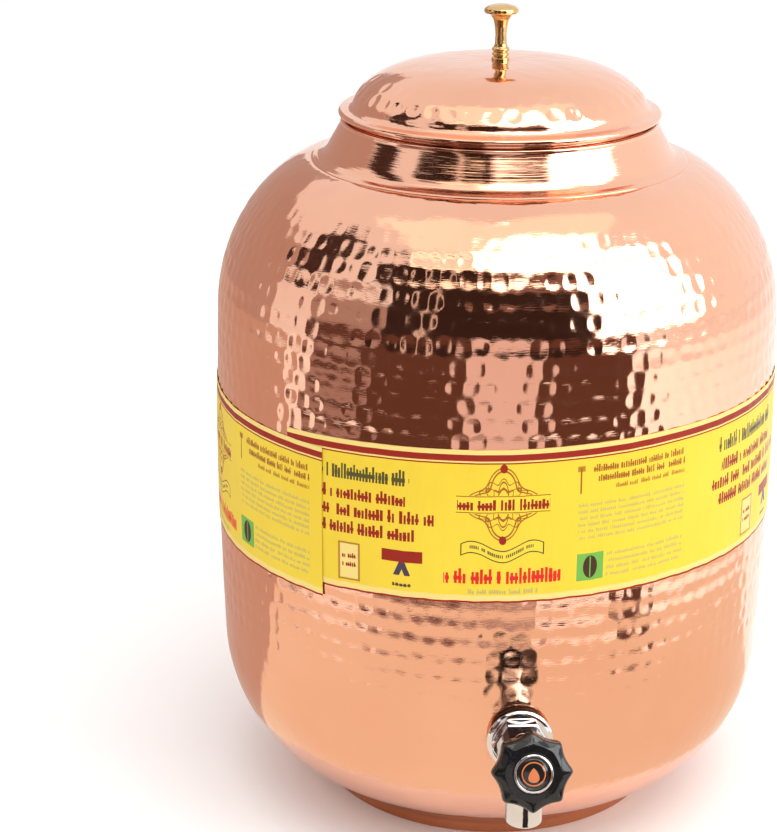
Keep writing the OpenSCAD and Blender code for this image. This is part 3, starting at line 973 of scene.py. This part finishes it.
@dataclass
class Label:
    """Paper label wrapped round the body in two overlapping sheets, both a little askew.

    Args:
        paper: finish of the printed paper.
        span: length that the print's own map spans, in millimetres.
        height: height of the paper in millimetres.
        radius: radius used to turn an angle into a length.
    """

    paper: bpy.types.Material
    span: float
    height: float = PAPER_HEIGHT
    radius: float = 107.5

    def sheet(self, name: str, start: float, end: float, lows: Sequence[tuple[float, float]], print_start: float,
              lift: float, free: float) -> bpy.types.Object:
        """One sheet of the label.

        Args:
            name: name of the piece.
            start: angle of its left end from the tap, in degrees.
            end: angle of its right end.
            lows: angle and height of its lower edge at a few places.
            print_start: place of the print at its left end, in millimetres.
            lift: distance between the copper and the paper, in millimetres.
            free: angle from which the right end stands off a little more.

        Returns:
            The piece.
        """
        length = math.radians(end - start) * self.radius
        bm = bmesh.new()
        uv = bm.loops.layers.uv.new("Print")
        bmesh.ops.create_grid(bm, x_segments=round(length / 1.1), y_segments=42, size=0.5)
        for face in bm.faces:
            for loop in face.loops:
                loop[uv].uv = ((print_start + (loop.vert.co.x + 0.5) * length) / self.span, loop.vert.co.y + 0.5)
        places, heights = zip(*lows)
        for vert in bm.verts:
            turn = start + (vert.co.x + 0.5) * (end - start)
            up = vert.co.y + 0.5
            low = float(np.interp(turn, places, heights))
            z = low + up * self.height
            waves = 0.10 * math.sin(turn * 0.43 + 2.2 * up) * math.sin(turn * 0.171 + 1.1) + 0.07 * math.sin(
                turn * 1.13 + 5 * up)
            off = lift + 0.08 + max(0.0, waves) + 0.30 * max(0.0, (turn - free) / max(end - free, 0.1)) ** 2
            edge = 0.10 * math.sin(turn * 0.9) + 0.05 * math.sin(turn * 2.3)
            r = (PotShell.wall_radius(z) + off) * MM
            angle = math.radians(turn)
            vert.co = (r * math.sin(angle), -r * math.cos(angle), (z + edge * (1 - up)) * MM)
        bmesh.ops.recalc_face_normals(bm, faces=bm.faces)
        middle = bm.faces[:][len(bm.faces) // 2]
        if middle.normal.dot(middle.calc_center_median() - Vector((0, 0, middle.calc_center_median().z))) < 0:
            bmesh.ops.reverse_faces(bm, faces=bm.faces)
        bmesh.ops.solidify(bm, geom=bm.faces[:], thickness=0.12 * MM)
        return add_piece(name, bm, self.paper, "pot", ["label_band"], 60)

    def build(self) -> None:
        """Build both sheets: the front one first, with the other over its left end."""
        front = ((-49, 111.6), (-40, 112.6), (-29, 113.7), (-15, 114.6), (-4, 115.1), (10, 116.0), (30, 117.0),
                 (61, 117.2), (150, 116.0))
        rear = ((143, 116.0), (180, 114.5), (240, 111.0), (290, 108.3), (320.2, 108.2))
        self.sheet("label_front", -49, 150, front, 0.0, 0.02, 148)
        self.sheet("label_rear", 144, 320.2, rear, 110.6 + 3 * 165 - math.radians(150.5) * self.radius, 0.17, 312)


@dataclass
class Lid:
    """Hammered lid with its skirt, its brass knob and the nut that holds it.

    Args:
        copper: finish of the hammered dome.
        spun: finish of the skirt.
        brass: finish of the knob.
        steps: steps round the dome.
    """

    copper: bpy.types.Material
    spun: bpy.types.Material
    brass: bpy.types.Material
    steps: int = 460

    @staticmethod
    def crown() -> np.ndarray:
        """Dense outline of the dome's hammered face, from its middle to its edge, in millimetres."""
        share = 1 - (1 - np.linspace(0, 1, 900)) ** 2.2
        return np.stack([54.6 * share, 269.2 + 15.6 * (1 - share ** 3.81) ** 0.7236], 1)

    def dome(self) -> None:
        """Dome with its groove and rolled rim, and one strong and one faint row of marks."""
        points = self.crown()
        run = run_of(points)
        places = np.linspace(0, run[-1], round(run[-1] / 0.8))
        top = [(float(np.interp(s, run, points[:, 0])), float(np.interp(s, run, points[:, 1]))) for s in places]
        rim = [(54.95, 268.75), (55.4, 268.1), (56.0, 267.75), (56.9, 267.5), (57.8, 267.35)]
        roll = [(58.6 + 1.2 * math.cos(a), 266.0 + 1.2 * math.sin(a)) for a in np.radians(np.linspace(96, -165, 22))]
        under = [(54.9, 267.4), (53.6, 268.5)] + [(r * 53.6 / 54.6, z - SHEET) for r, z in reversed(top[::4])]
        outline = top + rim + roll + under
        bm = lathe(outline, self.steps, False, arcs=list(places) + [-1.0] * (len(rim) + len(roll) + len(under)))
        made = add_piece("dome", bm, self.copper, "lid", ["lid_dome"], 60)
        strong, faint = (float(np.interp(r, points[:, 0], run)) for r in (51.6, 46.5))
        field_ = DimpleField(((strong, 1.0), (faint, 0.32)), 44, 3.2, 0.46, 0.3, 11)
        beat(made.data, points, field_, 0.05)

    def knob(self) -> None:
        """Turned brass knob."""
        z = 284.8
        shape = [(0, z - 0.2, 0), (3.3, z - 0.2, 0.1), (3.3, z + 0.7, 0.25), (2.55, z + 1.2, 0.2), (2.6, z + 1.4, 0.2),
                 (3.1, z + 1.8, 0.35), (3.1, z + 2.4, 0.35), (2.55, z + 2.9, 0.2), (2.6, z + 3.1, 0.2),
                 (3.2, z + 3.5, 0.35), (3.2, z + 4.2, 0.4), (2.6, z + 4.8, 0.5), (2.2, z + 5.8, 1.0),
                 (2.05, z + 9, 3), (2.3, z + 12, 3), (2.9, z + 14.8, 1.5), (4.1, z + 16.4, 1.0),
                 (6.08, z + 17.1, 0.5), (6.4, z + 17.9, 0.6), (6.0, z + 18.8, 0.8), (4.8, z + 19.6, 1.2),
                 (2.56, z + 20.15, 2), (0, z + 20.3, 0)]
        add_piece("knob", lathe(rounded(shape, 5), 96, False), self.brass, "lid", ["lid_knob"], 50)

    def build(self) -> None:
        """Build the dome and the knob, and finish the skirt, washer and nut."""
        self.dome()
        self.knob()
        dressed("lid_skirt", self.spun)
        dressed("knob_washer", self.brass)
        dressed("knob_nut", self.brass)


# ---------------------------------------------------------------------------------------------------------
# Tap
# ---------------------------------------------------------------------------------------------------------

def applied(made: bpy.types.Object) -> None:
    """Apply a piece's modifiers to its mesh."""
    graph = bpy.context.evaluated_depsgraph_get()
    mesh = bpy.data.meshes.new_from_object(made.evaluated_get(graph))
    old = made.data
    made.modifiers.clear()
    made.data = mesh
    mesh.name = old.name
    bpy.data.meshes.remove(old)


def carved(made: bpy.types.Object, bores: Sequence[bmesh.types.BMesh]) -> None:
    """Cut bores out of a piece.

    Args:
        made: the piece.
        bores: closed meshes of the bores, which are freed.
    """
    cutters = []
    for i, bm in enumerate(bores):
        mesh = bpy.data.meshes.new(f"{made.name}_bore_{i}")
        bm.to_mesh(mesh)
        bm.free()
        cutter = bpy.data.objects.new(mesh.name, mesh)
        bpy.context.scene.collection.objects.link(cutter)
        cut = made.modifiers.new(mesh.name, "BOOLEAN")
        cut.operation, cut.solver, cut.object = "DIFFERENCE", "EXACT", cutter
        cutters.append(cutter)
    bpy.context.view_layer.update()
    applied(made)
    for cutter in cutters:
        mesh = cutter.data
        bpy.data.objects.remove(cutter)
        bpy.data.meshes.remove(mesh)


def resmooth(mesh: bpy.types.Mesh, sharp: float) -> None:
    """Shade a mesh smooth except at edges above an angle in degrees."""
    mesh.shade_smooth()
    mesh.set_sharp_from_angle(angle=math.radians(sharp))


@dataclass
class Tap:
    """Chromed tap: wall flange, cast body with its spout, bonnet, and the fixings behind the wall.

    Args:
        chrome: finish of the plated parts.
        brass: finish of the nut, washer, spindle and valve.
        rubber: finish of the gaskets and seals.
    """

    chrome: bpy.types.Material
    brass: bpy.types.Material
    rubber: bpy.types.Material

    @staticmethod
    def joined(parts: Sequence[bmesh.types.BMesh]) -> bmesh.types.BMesh:
        """Put several meshes into one, and free them."""
        whole = bmesh.new()
        for bm in parts:
            mesh = bpy.data.meshes.new("part")
            bm.to_mesh(mesh)
            bm.free()
            whole.from_mesh(mesh)
            bpy.data.meshes.remove(mesh)
        return whole

    def casting(self) -> None:
        """Barrel, chamber, boss and spout as one casting with soft inner corners."""
        drop = CHAMBER @ Matrix.Rotation(math.radians(90), 4, "X")
        barrel = lathe([(0, 113.8), (7.4, 113.8), (7.4, SPINDLE_REACH), (0, SPINDLE_REACH)], 96, False, TAP)
        ball = bmesh.new()
        bmesh.ops.create_uvsphere(ball, u_segments=96, v_segments=48, radius=8.35 * MM,
                                  matrix=CHAMBER)
        boss = lathe([(0, 0), (8.0, 0), (8.0, 9.9), (0, 9.9)], 96, False, SPINDLE)
        spout = lathe(rounded([(0, 0, 0), (7.6, 0, 0), (7.6, 7.6, 0.3), (6.5, 8.6, 0.5), (6.5, 22.9, 0.6),
                               (0, 22.9, 0)]), 96, False, drop)
        made = add_piece("tap_casting", self.joined([barrel, ball, boss, spout]), self.chrome, "pot",
                         ["tap_body"])
        mesher = made.modifiers.new("mesher", "REMESH")
        mesher.mode, mesher.voxel_size, mesher.use_smooth_shade = "VOXEL", 0.34 * MM, True
        bpy.context.view_layer.update()
        applied(made)
        bm = bmesh.new()
        bm.from_mesh(made.data)
        for _ in range(5):
            bmesh.ops.smooth_vert(bm, verts=bm.verts, factor=0.5, use_axis_x=True, use_axis_y=True, use_axis_z=True)
        bmesh.ops.recalc_face_normals(bm, faces=bm.faces)
        bm.to_mesh(made.data)
        bm.free()
        bore = lathe(rounded([(0, 0, 0), (4.5, 0, 0), (4.5, 22.2, 0.3), (5.3, 24, 0), (0, 24, 0)]), 96, False, drop)
        chamber = lathe([(0, -8.5), (3, -8.5), (3, -3.5), (5.5, -3.5), (5.5, 11), (0, 11)], 96, False, SPINDLE)
        inlet = lathe([(0, 92), (3.5, 92), (3.5, 119.2), (0, 119.2)], 64, False, TAP)
        carved(made, [bore, chamber, inlet])
        resmooth(made.data, 50)

    def fixings(self) -> None:
        """Flange, threaded shank and the hexagon in front of the flange."""
        flange = rounded([(6.65, 108.2, 0), (11.8, 108.2, 0.15), (11.8, 109.0, 0.25), (11.2, 109.7, 0.4),
                          (10.3, 110.0, 0.3), (6.65, 110.0, 0.1)])
        add_piece("flange", lathe(flange, 128, where=TAP), self.chrome, "pot", ["wall_flange"])
        thread: list[tuple[float, float, float]] = [(3.5, 93.2, 0.2), (5.9, 93.2, 0.2)]
        for i in range(11):
            low = 94.2 + 1.25 * i
            thread += [(6.0, low, 0.1), (6.6, low + 0.5, 0.1), (6.6, low + 0.75, 0.1), (6.0, low + 1.25, 0.1)]
        thread += [(6.6, 108.6, 0.1), (6.6, 111.0, 0), (3.5, 111.0, 0)]
        add_piece("shank", lathe(rounded(thread, 2), 96, where=TAP), self.chrome, "pot", ["tap_body"])
        block = add_piece("hexagon", hexagon(18.4, 110.02, 114.6, 9.9, TAP), self.chrome, "pot",
                          ["tap_body"], 30)
        carved(block, [lathe([(0, 108), (3.5, 108), (3.5, 116), (0, 116)], 64, False, TAP)])
        resmooth(block.data, 30)

    def headworks(self) -> None:
        """Bonnet with its hexagon, over the seal on the boss."""
        nut = add_piece("bonnet_hexagon", hexagon(14.6, 10.8, 12.7, 7.9, SPINDLE), self.chrome, "pot",
                        ["bonnet"], 30)
        carved(nut, [lathe([(0, 9), (2.55, 9), (2.55, 15), (0, 15)], 64, False, SPINDLE)])
        resmooth(nut.data, 30)
        neck = rounded([(2.55, 7.2, 0.1), (5.3, 7.2, 0.3), (5.3, 10.9, 0), (5.0, 12.6, 0), (5.0, 13.6, 0.3),
                        (2.55, 13.6, 0.2)])
        add_piece("bonnet_neck", lathe(neck, 96, where=SPINDLE), self.chrome, "pot", ["bonnet"])

    def build(self) -> None:
        """Build the plated parts and finish the rest of the tap."""
        self.fixings()
        self.casting()
        self.headworks()
        for node in ("outer_gasket", "inner_gasket", "bonnet_seal", "spindle_oring", "valve_washer"):
            dressed(node, self.rubber)
        for node in ("back_washer", "back_nut", "spindle", "valve_jumper"):
            dressed(node, self.brass)
        dressed("spindle_clip", self.chrome)


@dataclass
class Handle:
    """Lobed black handle with its chrome ring, cap and screw.

    Args:
        plastic: finish of the moulding.
        cap: finish of the cap with its mark.
        chrome: finish of the ring.
        brass: finish of the screw.
        lobes: number of lobes.
        lobe_reach: radius of the lobes' tips in millimetres.
        flute: radius of the hollows between the lobes.
        flute_centre: distance of the hollows' centres from the spindle.
    """

    plastic: bpy.types.Material
    cap: bpy.types.Material
    chrome: bpy.types.Material
    brass: bpy.types.Material
    lobes: int = 8
    lobe_reach: float = 14.0
    flute: float = 12.0
    flute_centre: float = 24.3

    def moulding(self) -> None:
        """Lobed moulding: a turned blank whose flanks are drawn in between the lobes."""
        blank = [(2.55, 15, 0.1), (8.4, 15, 0.3), (9.0, 15.6, 0.3), (10.2, 15.6, 0.3), (10.8, 15.0, 0.2),
                 (11.4, 15.1, 0.4), (13.2, 16.5, 1.0), (14.0, 18.6, 1.6), (13.8, 21.2, 1.4), (13.1, 22.3, 0.9),
                 (12.1, 22.75, 1.0), (9.6, 23.75, 2.0), (7.1, 24.0, 0.4), (6.52, 23.8, 0.1), (6.52, 20.9, 0),
                 (2.55, 20.9, 0)]
        dense: Outline = []
        outline = rounded(blank, 5)
        for (r0, z0), (r1, z1) in zip(outline, outline[1:] + outline[:1]):
            pieces = max(1, round(math.hypot(r1 - r0, z1 - z0) / 0.3))
            dense += [(r0 + (r1 - r0) * k / pieces, z0 + (z1 - z0) * k / pieces) for k in range(pieces)]
        made = add_piece("handle", lathe(dense, 384), self.plastic, "handle",
                         ["tap_handle"], 40)
        co = read_points(made.data)
        radius = np.hypot(co[:, 0], co[:, 1])
        angle = np.arctan2(co[:, 1], co[:, 0])
        half = math.pi / self.lobes
        off = np.mod(angle, 2 * half) - half
        across = self.flute_centre * np.sin(off)
        flute = self.flute_centre * np.cos(off) - np.sqrt(self.flute ** 2 - across ** 2)
        limit = -np.log(np.exp(-2.6 * flute) + math.exp(-2.6 * self.lobe_reach)) / 2.6
        weight = np.clip((radius / MM - 8.6) / (13.0 - 8.6), 0, 1)
        draw = 1 - np.minimum(limit, self.lobe_reach) / self.lobe_reach
        scale = 1 - draw * weight * weight * (3 - 2 * weight)
        co[:, 0] *= scale
        co[:, 1] *= scale
        write_points(made.data, co)
        made.data.transform(SPINDLE)
        resmooth(made.data, 40)

    def build(self) -> None:
        """Build the moulding, the ring and the cap, and finish the screw."""
        self.moulding()
        ring = rounded([(5.42, 20.95, 0), (6.48, 20.95, 0), (6.48, 23.9, 0.1), (6.75, 24.3, 0.3), (6.6, 24.85, 0.3),
                        (6.0, 25.1, 0.3), (5.78, 24.8, 0.15), (5.76, 22.8, 0), (5.42, 22.8, 0)], 5)
        add_piece("ring", lathe(ring, 128, where=SPINDLE), self.chrome, "handle", ["handle_ring"], 50)
        dome = [(0, 22.8, 0), (5.74, 22.8, 0), (5.74, 23.9, 0.3), (4.85, 24.4, 0.8), (3.35, 24.85, 1.5),
                (1.75, 25.05, 1.5), (0, 25.1, 0)]
        add_piece("cap", lathe(rounded(dome, 6), 96, False, SPINDLE), self.cap, "handle",
                  ["handle_cap"], 50)
        dressed("handle_screw", self.brass)


# ---------------------------------------------------------------------------------------------------------
# Studio
# ---------------------------------------------------------------------------------------------------------

@dataclass(frozen=True)
class Viewpoint:
    """Where the camera stands and how it looks.

    Args:
        distance: distance from the pot's axis in metres.
        height: height in metres.
        turn: angle of the camera's place from the tap, in degrees.
        pitch: angle below the horizontal in degrees.
        yaw: turn of the view away from the axis in degrees.
        roll: roll in degrees.
        lens: focal length in millimetres on a 36 mm sensor.
    """

    distance: float = 0.7527
    height: float = 0.4145
    turn: float = 6.3
    pitch: float = 19.70
    yaw: float = -3.11
    roll: float = 0.15
    lens: float = 94.66

    def add(self) -> bpy.types.Object:
        """Add the camera and make it the scene's."""
        data = bpy.data.cameras.new("camera")
        data.sensor_width, data.sensor_fit, data.lens = 36, "HORIZONTAL", self.lens
        made = bpy.data.objects.new("camera", data)
        bpy.context.scene.collection.objects.link(made)
        yaw, pitch, roll = (math.radians(v) for v in (self.yaw, self.pitch, self.roll))
        ahead = Vector((math.sin(yaw) * math.cos(pitch), math.cos(yaw) * math.cos(pitch), -math.sin(pitch)))
        right = Vector((math.cos(yaw), -math.sin(yaw), 0))
        up = right.cross(ahead)
        across = math.cos(roll) * right + math.sin(roll) * up
        over = math.cos(roll) * up - math.sin(roll) * right
        view = Matrix((across, over, -ahead)).transposed().to_4x4()
        view.translation = Vector((0, -self.distance, self.height))
        made.matrix_world = Matrix.Rotation(math.radians(-self.turn), 4, "Z") @ view
        bpy.context.scene.camera = made
        return made


@dataclass(frozen=True)
class Card:
    """Flat or curved card that the polished copper mirrors; the camera doesn't see it.

    Args:
        name: name of the card.
        near: radius of its inner or lower edge, in metres.
        far: radius of its outer or upper edge.
        low: height of its near edge.
        high: height of its far edge.
        start: angle from the camera's line at which it starts, in degrees.
        end: angle at which it ends.
        color: colour it shows.
        strength: brightness.
    """

    name: str
    near: float
    far: float
    low: float
    high: float
    start: float
    end: float
    color: tuple[float, float, float]
    strength: float = 1.0

    def add(self, turn: float) -> None:
        """Add the card, turned to the camera's line."""
        bm = bmesh.new()
        a = bm.verts.new((0, -self.near, self.low))
        b = bm.verts.new((0, -self.far, self.high))
        edge = bm.edges.new((a, b))
        bmesh.ops.spin(bm, geom=[a, b, edge], cent=(0, 0, 0), axis=(0, 0, 1), dvec=(0, 0, 0),
                       angle=math.radians(self.end - self.start), steps=max(2, round((self.end - self.start) / 4)),
                       use_merge=False, use_duplicate=False)
        bmesh.ops.transform(bm, matrix=Matrix.Rotation(math.radians(self.start - turn), 4, "Z"), verts=bm.verts)
        mesh = bpy.data.meshes.new(self.name)
        bm.to_mesh(mesh)
        bm.free()
        material = bpy.data.materials.new(self.name)
        material.use_nodes = True
        nodes = material.node_tree.nodes
        nodes.clear()
        glow, out = nodes.new("ShaderNodeEmission"), nodes.new("ShaderNodeOutputMaterial")
        glow.inputs["Color"].default_value = (*self.color, 1)
        glow.inputs["Strength"].default_value = self.strength
        material.node_tree.links.new(glow.outputs[0], out.inputs[0])
        mesh.materials.append(material)
        made = bpy.data.objects.new(self.name, mesh)
        bpy.context.scene.collection.objects.link(made)
        made.visible_camera = made.visible_diffuse = made.visible_shadow = False
        made.visible_transmission = made.visible_volume_scatter = False


@dataclass
class Studio:
    """Pale floor, soft light from above and the sides, and cards in front for the copper to mirror.

    Args:
        turn: angle of the camera's line from the tap, in degrees.
        cards: the cards.
    """

    turn: float
    cards: tuple[Card, ...] = (
        Card("glow", 0.104, 0.335, 0.001, 0.001, -84, 110, (0.99, 0.84, 0.68)),
        Card("floor_left", 0.104, 1.5, 0.0012, 0.0012, -170, -84, (0.64, 0.46, 0.39)),
        Card("side_left", 1.5, 1.5, 0.0, 1.0, -165, -98, (0.54, 0.40, 0.36)),
        Card("sky", 0.85, 0.05, 1.60, 1.70, -110, 130, (1.0, 0.97, 0.88), 1.35),
        Card("mat", 0.335, 0.44, 0.002, 0.002, -42, 16, (0.52, 0.40, 0.38)),
        Card("table_front", 0.44, 1.5, 0.003, 0.003, -76, 56, (0.13, 0.06, 0.04)),
        Card("table_left", 0.62, 1.5, 0.004, 0.004, -76, -50, (0.42, 0.30, 0.28)),
        Card("room_low", 1.5, 1.5, 0.0, 0.34, -76, 56, (0.13, 0.06, 0.045)),
        Card("room_front", 1.49, 1.49, 0.33, 1.85, -47, 40, (0.035, 0.018, 0.014)),
        Card("room_high", 1.48, 1.48, 1.15, 1.85, -63, -47, (0.05, 0.025, 0.02)),
        Card("room_beam", 1.48, 1.48, 1.25, 1.62, -5, 39, (0.28, 0.17, 0.14)),
        Card("room_left", 1.5, 1.5, 0.33, 0.85, -76, -47, (0.45, 0.33, 0.30)),
        Card("stand", 0.46, 1.2, 0.005, 0.36, -9.4, 16.6, (0.88, 0.74, 0.72)),
        Card("post_left", 1.2, 1.2, 0.2, 1.5, -30, -27, (0.75, 0.65, 0.6), 1.2),
        Card("post_far", 1.2, 1.2, 0.6, 1.6, -98, -80, (0.06, 0.03, 0.025)),
        Card("window", 1.3, 1.3, 0.36, 1.75, 40, 88, (1, 1, 1), 5.0),
        Card("ceiling_left", 1.2, 0.98, 1.53, 1.58, -50, -12, (1.0, 0.90, 0.76), 2.0),
        Card("ceiling_rib", 1.2, 0.98, 1.53, 1.58, -12, -6, (0.20, 0.10, 0.07)),
        Card("ceiling_right", 1.2, 0.98, 1.53, 1.58, -6, 38, (1.0, 0.90, 0.76), 1.8),
        Card("leg_right", 0.30, 0.44, 0.003, 0.003, 45, 56, (0.14, 0.07, 0.06)),
        Card("leg_left", 0.355, 0.40, 0.003, 0.003, -86, -67, (0.20, 0.11, 0.09)),
        Card("leg_middle", 0.335, 0.40, 0.003, 0.003, -27, -9, (0.26, 0.16, 0.14)),
        Card("shade_tap", 0.165, 0.235, 0.003, 0.003, 2, 13, (0.03, 0.02, 0.02)),
    )

    def floor(self) -> None:
        """Pale floor."""
        bm = bmesh.new()
        bmesh.ops.create_grid(bm, x_segments=1, y_segments=1, size=4)
        mesh = bpy.data.meshes.new("floor")
        bm.to_mesh(mesh)
        bm.free()
        g = Graph("pale_floor")
        mesh.materials.append(g.surface((0.98, 0.98, 0.98), 0.7))
        made = bpy.data.objects.new("floor", mesh)
        bpy.context.scene.collection.objects.link(made)

    def lights(self) -> None:
        """Pale surroundings and large soft lamps."""
        world = bpy.data.worlds.new("surroundings")
        bpy.context.scene.world = world
        world.use_nodes = True
        tree = world.node_tree
        back = tree.nodes["Background"]
        coords, split = tree.nodes.new("ShaderNodeTexCoord"), tree.nodes.new("ShaderNodeSeparateXYZ")
        ramp = tree.nodes.new("ShaderNodeValToRGB")
        tree.links.new(coords.outputs["Generated"], split.inputs[0])
        tree.links.new(split.outputs[0], ramp.inputs[0])
        ramp.color_ramp.elements[0].position, ramp.color_ramp.elements[1].position = 0.0, 1.0
        ramp.color_ramp.elements[0].color = (0.88, 0.85, 0.85, 1)
        ramp.color_ramp.elements[1].color = (1.0, 1.0, 1.0, 1)
        tree.links.new(ramp.outputs[0], back.inputs["Color"])
        back.inputs["Strength"].default_value = 1.12
        for name, spot, size, power in (("lamp_top", (0.2, -0.5, 1.6), 1.2, 9.0),
                                        ("lamp_right", (1.3, -0.9, 0.9), 0.9, 7.0)):
            data = bpy.data.lights.new(name, "AREA")
            data.shape, data.size, data.energy = "SQUARE", size, power
            lamp = bpy.data.objects.new(name, data)
            bpy.context.scene.collection.objects.link(lamp)
            lamp.matrix_world = Matrix.Translation(spot) @ (-Vector(spot) + Vector((0, 0, 0.15))).to_track_quat(
                "-Z", "Y").to_matrix().to_4x4()

    def build(self) -> None:
        """Build the floor, the lights and the cards."""
        self.floor()
        self.lights()
        for card in self.cards:
            card.add(self.turn)
        bpy.context.scene.view_settings.view_transform = "Standard"


def main() -> None:
    """Build the pot, lid, tap and handle, then the studio and the camera."""
    logging.basicConfig(level=logging.INFO, format="%(message)s")
    hammered = CopperFinish("hammered_copper").material()
    spun = CopperFinish("turned_copper", grain=Grain.TURNED, roughness=0.06).material()
    dark = CopperFinish("dark_copper", (0.60, 0.25, 0.13), (0.38, 0.14, 0.07), 0.14, Grain.TURNED).material()
    brass = BrassFinish("brass").material()
    chrome = ChromeFinish("chrome").material()
    plastic = MouldedFinish("black_plastic").material()
    rubber = MouldedFinish("rubber", (0.03, 0.028, 0.026), (0.10, 0.09, 0.08), 0.6, 0.0).material()
    paper = LabelFinish("label_paper", PRINT_SPAN, PAPER_HEIGHT).material()
    face = SPINDLE.to_3x3()
    cap = CapFinish("cap_gloss", SPINDLE @ Vector((0, 0, 25 * MM)), face @ Vector((1, 0, 0)),
                    face @ Vector((0, 1, 0))).material()
    for assembly in (PotShell(hammered, spun, dark), Label(paper, PRINT_SPAN), Lid(hammered, spun, brass),
                     Tap(chrome, brass, rubber), Handle(plastic, cap, chrome, brass)):
        assembly.build()
        LOG.info("built %s", type(assembly).__name__)
    view = Viewpoint()
    Studio(view.turn).build()
    view.add()


if __name__ == "__main__":
    main()
